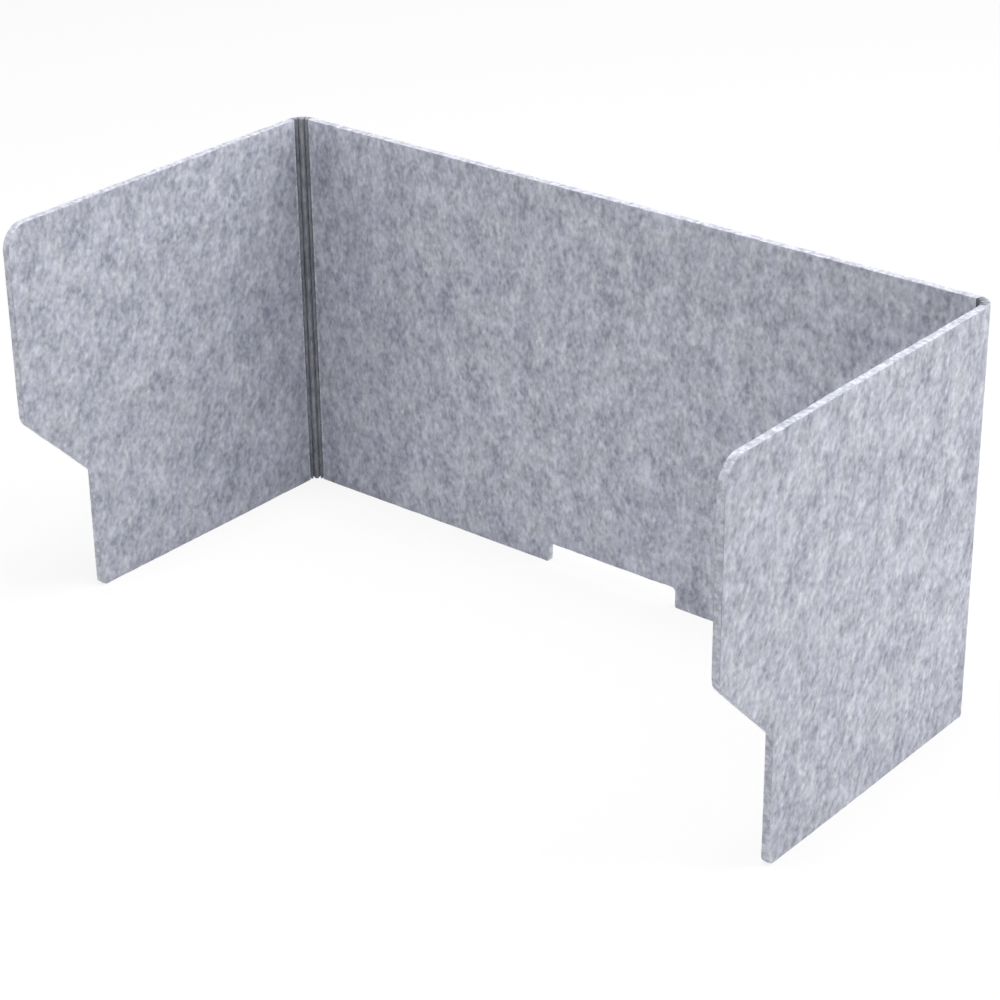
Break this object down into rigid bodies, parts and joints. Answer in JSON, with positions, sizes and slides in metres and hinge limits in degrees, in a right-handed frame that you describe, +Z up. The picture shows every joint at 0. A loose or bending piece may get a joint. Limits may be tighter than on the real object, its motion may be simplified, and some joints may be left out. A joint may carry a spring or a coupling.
{
  "type": "folding desk divider",
  "caption": "Free-standing felt desk divider: a back panel with a cable notch and two wings with cut-back feet, joined by V-grooved folds so that it opens flat or folds up.",
  "frame": {"origin": "on the desk, under the middle of the divider's bounding box as it stands with square corners", "axes": "+X along the back panel, +Y from the open front towards the back panel, +Z up"},
  "size_m": [1, 0.498, 0.5],
  "materials": {
    "felt_board": "needled felt board of mixed light, blue-grey and dark fibres, matt, with soft cut edges",
    "fold_felt": "the same felt where the grooves cut into it: matt, denser and a little darker"
  },
  "bodies": {
    "back_panel": {"back_panel": "felt_board", "left_fold_web_1": "fold_felt", "right_fold_web_1": "fold_felt"},
    "left_rib_1": {"left_fold_rib_1": "fold_felt", "left_fold_web_2": "fold_felt"},
    "left_rib_2": {"left_fold_rib_2": "fold_felt", "left_fold_web_3": "fold_felt"},
    "left_rib_3": {"left_fold_rib_3": "fold_felt", "left_fold_web_4": "fold_felt"},
    "left_wing": {"left_wing": "felt_board"},
    "right_rib_1": {"right_fold_rib_1": "fold_felt", "right_fold_web_2": "fold_felt"},
    "right_rib_2": {"right_fold_rib_2": "fold_felt", "right_fold_web_3": "fold_felt"},
    "right_rib_3": {"right_fold_rib_3": "fold_felt", "right_fold_web_4": "fold_felt"},
    "right_wing": {"right_wing": "felt_board"}
  },
  "joints": [
    {"name": "left_fold_1", "type": "hinge", "parent": "back_panel", "child": "left_rib_1", "pos_m": [-0.48131, 0.246, 0], "axis": [0, 0, 1], "range_deg": [-22.5, 22.5], "deforming": ["left_fold_web_1"]},
    {"name": "left_fold_2", "type": "hinge", "parent": "left_rib_1", "child": "left_rib_2", "pos_m": [-0.48776, 0.24333, 0], "axis": [0, 0, 1], "range_deg": [-22.5, 22.5], "deforming": ["left_fold_web_2"]},
    {"name": "left_fold_3", "type": "hinge", "parent": "left_rib_2", "child": "left_rib_3", "pos_m": [-0.49433, 0.23676, 0], "axis": [0, 0, 1], "range_deg": [-22.5, 22.5], "deforming": ["left_fold_web_3"]},
    {"name": "left_fold_4", "type": "hinge", "parent": "left_rib_3", "child": "left_wing", "pos_m": [-0.497, 0.23031, 0], "axis": [0, 0, 1], "range_deg": [-22.5, 22.5], "deforming": ["left_fold_web_4"]},
    {"name": "right_fold_1", "type": "hinge", "parent": "back_panel", "child": "right_rib_1", "pos_m": [0.48131, 0.246, 0], "axis": [0, 0, -1], "range_deg": [-22.5, 22.5], "deforming": ["right_fold_web_1"]},
    {"name": "right_fold_2", "type": "hinge", "parent": "right_rib_1", "child": "right_rib_2", "pos_m": [0.48776, 0.24333, 0], "axis": [0, 0, -1], "range_deg": [-22.5, 22.5], "deforming": ["right_fold_web_2"]},
    {"name": "right_fold_3", "type": "hinge", "parent": "right_rib_2", "child": "right_rib_3", "pos_m": [0.49433, 0.23676, 0], "axis": [0, 0, -1], "range_deg": [-22.5, 22.5], "deforming": ["right_fold_web_3"]},
    {"name": "right_fold_4", "type": "hinge", "parent": "right_rib_3", "child": "right_wing", "pos_m": [0.497, 0.23031, 0], "axis": [0, 0, -1], "range_deg": [-22.5, 22.5], "deforming": ["right_fold_web_4"]}
  ]
}
